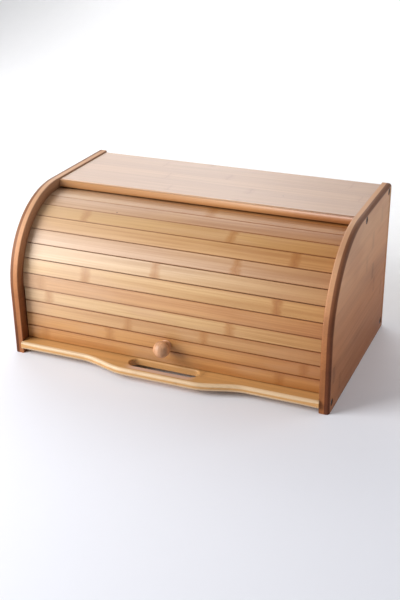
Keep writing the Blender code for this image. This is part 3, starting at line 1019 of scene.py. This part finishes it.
# Places of each slat's knuckles along X; a place off the slat shows nothing
NO_KNUCKLE = 1.0
KNUCKLES = (
    (-0.158, 0.134), (-0.072, 0.162), (-0.048, 0.046), (-0.150, 0.076),
    (-0.160, NO_KNUCKLE), (-0.102, 0.128), (-0.016, NO_KNUCKLE), (0.076, NO_KNUCKLE),
    (0.138, NO_KNUCKLE), (-0.122, 0.060), (-0.178, NO_KNUCKLE), (0.022, NO_KNUCKLE),
    (0.020, -0.165),
)


def slat_name(number):
    """The CAD's name of a slat, numbered from the bottom of the closed door."""
    return "slat_" + str(number).zfill(2)


def mark_knuckles(mesh):
    """Give each slat the places of its two knuckles along X, and -1 to 1 across its face."""
    canes = [round(cane.value) for cane in mesh.attributes["cane"].data]
    for which, label in enumerate(("knuckle_a", "knuckle_b")):
        layer = mesh.attributes.new(label, 'FLOAT', 'POINT')
        for i, cane in enumerate(canes):
            layer.data[i].value = KNUCKLES[cane - 1][which]
    across = mesh.attributes.new("across", 'FLOAT', 'POINT')
    for i, cane in enumerate(canes):
        if cane > UPRIGHT_SLATS:
            angle = (cane - UPRIGHT_SLATS - 0.5) * ARC_ANGLE
            middle = Vector(arc_point(FACE_RADIUS, angle))
            half = FACE_RADIUS * tan(ARC_ANGLE / 2)
        else:
            low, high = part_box(slat_name(cane))
            angle = 0.0
            middle = Vector((low.y, (low.z + high.z) / 2))
            half = SLAT_WIDTH / 2
        away = Vector(mesh.vertices[i].co.yz) - middle
        across.data[i].value = away.dot(Vector((sin(angle), cos(angle)))) / half


class BREADBOX_OT_slats(bpy.types.Operator):
    """Build the door's slats: nine that roll together and four that follow"""
    bl_idname = "bread_box.slats"
    bl_label = "Slats"

    def execute(self, context):
        tones, sizes = settings_of(context)
        cane = bamboo_slats("slat_bamboo", tones)
        tree = slat_tree()
        common = {"Thickness": SLAT_THICK, "Corner": sizes.slat_corner, "Material": cane,
                  "Centre_Y": ARC_Y, "Radius": BACK_RADIUS + SLAT_THICK / 2,
                  "Angle_Step": ARC_ANGLE, "Width": SLAT_WIDTH}
        first = UPRIGHT_SLATS + 1
        face = 2 * FACE_RADIUS * tan(ARC_ANGLE / 2) - sizes.face_gap
        door = grown("arc_slats", tree, bpy.data.meshes.new("seed"), Count=ARC_SLATS,
                     First_Number=float(first), Centre_Z=ARC_Z, First_Angle=ARC_ANGLE / 2,
                     Half_Length=arc_slat_end, Face_Width=face, **common)
        mark_knuckles(door.data)
        arc_names = [slat_name(number) for number in range(first, first + ARC_SLATS)]
        dress(door, "tambour", "slat_wood", arc_names)
        for number in range(1, first):
            label = slat_name(number)
            low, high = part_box(label)
            slat = grown("upright_" + label, tree, bpy.data.meshes.new("seed"), Count=1,
                         First_Number=float(number), Centre_Z=(low.z + high.z) / 2,
                         First_Angle=0.0, Half_Length=high.x, Face_Width=SLAT_WIDTH, **common)
            mark_knuckles(slat.data)
            dress(slat, label + "_link", "slat_wood", [label])
        return {'FINISHED'}


def cloth_sheet(name, path, half_width, thick):
    """A woven sheet along a path of (Y, Z) points, with a UV map in metres."""
    shape = bmesh.new()
    uv = shape.loops.layers.uv.new("UVMap")
    xs = [half_width * (2 * c / CLOTH_COLUMNS - 1) for c in range(CLOTH_COLUMNS + 1)]
    run = 0.0
    rows = []
    for i, (y, z) in enumerate(path):
        if i:
            run += dist(path[i - 1], path[i])
        rows.append([(shape.verts.new((x, y, z)), x, run) for x in xs])
    for low, high in zip(rows, rows[1:]):
        for c in range(CLOTH_COLUMNS):
            corners = (low[c], high[c], high[c + 1], low[c + 1])
            face = shape.faces.new([corner[0] for corner in corners])
            face.smooth = True
            for loop, (_, x, v) in zip(face.loops, corners):
                loop[uv].uv = (x, v)
    sheet = place_shape(name, shape, closed=False)
    wall = sheet.modifiers.new("wall", 'SOLIDIFY')
    wall.thickness = thick
    wall.offset = 0
    return sheet, run


class BREADBOX_OT_cloth(bpy.types.Operator):
    """Build the cloth that joins the slats from behind"""
    bl_idname = "bread_box.cloth"
    bl_label = "Backing Cloth"

    def execute(self, context):
        tones, sizes = settings_of(context)
        weave = woven_cloth("cotton_weave", tones.cloth, sizes.thread)
        thick = strip_high.y - strip_low.y
        middle = ARC_Y - (strip_low.y + strip_high.y) / 2
        inset = CLOTH_MARGIN / BACK_RADIUS
        path = arc_points(middle, inset, ARC_ANGLE * ARC_SLATS - inset, CLOTH_ROWS)
        sheet, run = cloth_sheet("door_cloth", path, cloth_end, thick)
        dress(sheet, "tambour", "cloth", ["tambour_cloth"], weave)
        for number in range(1, UPRIGHT_SLATS + 1):
            label = str(number).zfill(2)
            low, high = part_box("cloth_strip_" + label)
            y = (low.y + high.y) / 2
            path = [(y, z) for z in spread(low.z, high.z, STRIP_ROWS)]
            strip, run = cloth_sheet("cloth_" + label, path, high.x, thick)
            dress(strip, "slat_" + label + "_link", "cloth", ["cloth_strip_" + label], weave)
            "upright_slat_" + label
        return {'FINISHED'}


class BREADBOX_OT_knob(bpy.types.Operator):
    """Build the ball knob on the second slat"""
    bl_idname = "bread_box.knob"
    bl_label = "Knob"

    def execute(self, context):
        tones, _ = settings_of(context)
        radius = (knob_high.z - knob_low.z) / 2
        face = knob_high.y
        crown = knob_high.y - knob_low.y
        middle = (knob_low.z + knob_high.z) / 2
        neck = KNOB_NECK
        start = pi - asin(neck / radius)
        ball = [start * (1 - i / KNOB_RISE_STEPS) for i in range(KNOB_RISE_STEPS)]
        flare = [(neck * 1.2, 0), (neck * 1.25, 0.3 * MM), (neck * 1.1, 0.8 * MM), (neck, 1.3 * MM)]
        round_part = [(radius * sin(a), crown - radius + radius * cos(a)) for a in ball]
        knob = turned("ball_knob", [(0, 0), *flare, *round_part, (0, crown)], KNOB_STEPS,
                      lambda u, v, w: Vector((u, face - w, middle + v)))
        plain(knob, crease=50.0)
        wood = turned_wood("knob_wood", tones.knob, tones)
        dress(knob, "slat_02_link", "knob_wood", ["knob"], wood)
        return {'FINISHED'}


# ---- screws

def screw_prototype(name, head, thick, shank, length, dome):
    """A cross-headed screw along +X with its head's face at the origin."""
    profile = [(0, -length), (shank * 0.3, -length), (shank, SCREW_TIP - length), (shank, -thick)]
    if dome:
        profile += [(head, -thick), (head, -thick * 0.6),
                    (head * 0.92, -thick * 0.3), (head * 0.6, -thick * 0.06)]
    else:
        profile += [(head * 0.97, -0.25 * MM), (head, -0.12 * MM), (head * 0.97, 0)]
    screw = turned(name, [*profile, (0, 0)], HOLE_STEPS, side_view)
    long, narrow = head * 0.62, head * 0.13
    arms = []
    for y, z in ((long, narrow), (narrow, long)):
        arm = prism("arm", rectangle(-y, -z, y, z), -CROSS_DEPTH, CROSS_DEPTH, side_view)
        arms.append(cut(screw, arm))
    return plain(screw, arms)


def screw_tree():
    """Copies of a screw on the points of a mesh, heads outwards, each turned its own way."""
    graph, given = new_tree("screws", {
        "Geometry": 'NodeSocketGeometry', "Screw": 'NodeSocketObject', "Seed": 'NodeSocketInt',
        "Lean": 'NodeSocketFloat', "Material": 'NodeSocketMaterial'})
    shape = graph.add('GeometryNodeObjectInfo', None, {"Object": given["Screw"]})["Geometry"]
    place = graph.add('GeometryNodeInputPosition')["Position"]
    x = graph.add('ShaderNodeSeparateXYZ', None, {"Vector": place})["X"]
    about_face = graph.maths('LESS_THAN', x, 0.0) * pi
    made = graph.add('FunctionNodeRandomValue', {"data_type": 'FLOAT'}, {"Seed": given["Seed"]})
    spread = [socket for socket in made.node.outputs if socket.enabled][0]
    twist = Flow(graph, spread) * pi
    turn = graph.vector(twist, 0.0, about_face + given["Lean"])
    sockets = {"Points": given["Geometry"], "Instance": shape, "Rotation": turn}
    screws = graph.add('GeometryNodeInstanceOnPoints', None, sockets)["Instances"]
    return close_tree(graph, screws, given["Material"])


def fit_screws(name, tree, spots, proto, seed, lean, steel):
    """Put copies of a prototype on the spots, then drop the prototype."""
    points = bpy.data.meshes.new("spots")
    points.from_pydata(spots, [], [])
    screws = grown(name, tree, points, Screw=proto, Seed=seed, Lean=lean, Material=steel)
    bpy.data.objects.remove(proto)
    return screws


class BREADBOX_OT_screws(bpy.types.Operator):
    """Build the side screws and the knob's screw"""
    bl_idname = "bread_box.screws"
    bl_label = "Screws"

    def execute(self, context):
        tones, _ = settings_of(context)
        steel = dark_steel("dark_steel", tones.steel)
        tree = screw_tree()
        names = ["screw_" + label + "_" + spot for label, _ in SIDES for spot in SCREW_SPOTS]
        spots = []
        for name in names:
            low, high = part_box(name)
            outside = high.x if high.x > 0 else low.x
            spots.append((outside, (low.y + high.y) / 2, (low.z + high.z) / 2))
        low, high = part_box(names[0])
        proto = screw_prototype("side_screw", (high.y - low.y) / 2, SIDE_HEAD_THICK, SIDE_SHANK,
                                high.x - low.x, dome=False)
        screws = fit_screws("side_screws", tree, spots, proto, 4, 0.0, steel)
        dress(screws, "case", "screw_steel", names)
        low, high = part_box("knob_screw")
        spots = [((low.x + high.x) / 2, high.y, (low.z + high.z) / 2)]
        proto = screw_prototype("pan_screw", (high.x - low.x) / 2, PAN_HEAD_THICK, PAN_SHANK,
                                high.y - low.y, dome=True)
        screw = fit_screws("knob_fixing", tree, spots, proto, 9, pi / 2, steel)
        dress(screw, "slat_02_link", "screw_steel", ["knob_screw"])
        return {'FINISHED'}


# ---- stage

CAMERA_PLACE = Vector((0.4333, -0.9936, 0.5647))
CAMERA_AZIMUTH = radians(23.51)
CAMERA_ELEVATION = radians(25.18)
CAMERA_ROLL = radians(-0.81)
CAMERA_LENS = 59.99

SWEEP_FRONT, SWEEP_BACK, SWEEP_HALF_WIDTH = -3.0, 1.6, 4.0
SWEEP_BEND, SWEEP_TOP = 0.5, 3.0
SKY_LIGHT, SKY_SEEN = 0.26, 0.90

# Name, place, target, size and watts
LAMPS = (
    ("key", (-1.02, -0.86, 0.70), (-0.10, 0, 0.09), (0.9, 1.0), 28.5),
    ("back_wall", (-0.80, 1.20, 0.95), (0, 0, 0.12), (1.9, 0.9), 13.0),
    ("fill", (1.30, 0.55, 0.95), (0.1, 0, 0.1), (1.0, 1.0), 6.8),
)


def add_camera():
    """Aim the camera along its azimuth and elevation, with a slight roll."""
    az, el, roll = CAMERA_AZIMUTH, CAMERA_ELEVATION, CAMERA_ROLL
    ahead = Vector((-sin(az) * cos(el), cos(az) * cos(el), -sin(el)))
    right = ahead.cross(Vector((0, 0, 1))).normalized()
    up = right.cross(ahead)
    across = cos(roll) * right + sin(roll) * up
    upward = -sin(roll) * right + cos(roll) * up
    lens = bpy.data.cameras.new("camera")
    lens.lens = CAMERA_LENS
    camera = place_object("camera", lens)
    turn = Matrix((across, upward, -ahead)).transposed().to_4x4()
    camera.matrix_world = Matrix.Translation(CAMERA_PLACE) @ turn
    bpy.context.scene.camera = camera


def add_lamp(name, place, target, size, power):
    """A soft white rectangle of light that faces its target."""
    lamp = bpy.data.lights.new(name, 'AREA')
    lamp.shape = 'RECTANGLE'
    lamp.size, lamp.size_y = size
    lamp.energy = power
    holder = place_object(name, lamp)
    aim = (Vector(target) - Vector(place)).to_track_quat('-Z', 'Y')
    holder.matrix_world = Matrix.Translation(place) @ aim.to_matrix().to_4x4()


def sweep_profile():
    """(Y, Z) of a floor that curves up into a wall behind the box."""
    bend = SWEEP_BEND
    corner = [(SWEEP_BACK - bend + bend * sin(a), bend - bend * cos(a))
              for a in spread(0, pi / 2, BEND_STEPS)]
    return [(SWEEP_FRONT, 0.0), *corner, (SWEEP_BACK, SWEEP_TOP)]


def add_stage(tones):
    """The pale floor, which curves up into a backdrop."""
    shape = bmesh.new()
    ends = (-SWEEP_HALF_WIDTH, SWEEP_HALF_WIDTH)
    rows = [[shape.verts.new((x, y, z)) for x in ends] for y, z in sweep_profile()]
    for low, high in zip(rows, rows[1:]):
        shape.faces.new((low[0], low[1], high[1], high[0])).smooth = True
    sweep = place_shape("sweep", shape, closed=False)
    sweep.data.materials.append(floor_finish("sweep_paint", tones.floor))


class BREADBOX_OT_stage(bpy.types.Operator):
    """Set the camera, the lights and the pale floor"""
    bl_idname = "bread_box.stage"
    bl_label = "Stage"

    def execute(self, context):
        tones, _ = settings_of(context)
        add_camera()
        add_stage(tones)
        world = bpy.data.worlds.new("studio")
        world.use_nodes = True
        sky = world.node_tree.nodes["Background"]
        sky.inputs["Color"].default_value = (1.0, 1.0, 1.0, 1.0)
        graph = Graph(world.node_tree)
        seen = graph.add('ShaderNodeLightPath')["Is Camera Ray"]
        graph.feed(sky.inputs["Strength"], SKY_LIGHT + seen * (SKY_SEEN - SKY_LIGHT))
        context.scene.world = world
        context.scene.view_settings.view_transform = 'Standard'
        for lamp in LAMPS:
            add_lamp(*lamp)
        return {'FINISHED'}


# ---- add-on

class BREADBOX_PT_panel(bpy.types.Panel):
    """Lists the bread box's pieces, sizes and colours"""
    bl_idname = "BREADBOX_PT_panel"
    bl_label = "Bread Box"
    bl_space_type = 'VIEW_3D'
    bl_region_type = 'UI'
    bl_category = "Bread Box"

    def draw(self, context):
        for operator in OPERATORS:
            self.layout.operator(operator.bl_idname)
        for group in settings_of(context):
            column = self.layout.column()
            for name in group.bl_rna.properties.keys():
                if name not in {"rna_type", "name"}:
                    column.prop(group, name)


OPERATORS = (
    BREADBOX_OT_stage,
    BREADBOX_OT_side_panels,
    BREADBOX_OT_base_board,
    BREADBOX_OT_top_board,
    BREADBOX_OT_back_panel,
    BREADBOX_OT_slats,
    BREADBOX_OT_cloth,
    BREADBOX_OT_knob,
    BREADBOX_OT_screws,
)
CLASSES = (BreadBoxSizes, BreadBoxFinish, *OPERATORS, BREADBOX_PT_panel)


def register():
    for cls in CLASSES:
        bpy.utils.register_class(cls)
    bpy.types.Scene.bread_box_sizes = PointerProperty(type=BreadBoxSizes)
    bpy.types.Scene.bread_box_finish = PointerProperty(type=BreadBoxFinish)


def unregister():
    del bpy.types.Scene.bread_box_finish
    del bpy.types.Scene.bread_box_sizes
    for cls in reversed(CLASSES):
        bpy.utils.unregister_class(cls)


def main():
    """Build every piece."""
    register()
    for operator in OPERATORS:
        group, name = operator.bl_idname.split(".")
        getattr(getattr(bpy.ops, group), name)()


if __name__ == "__main__":
    main()
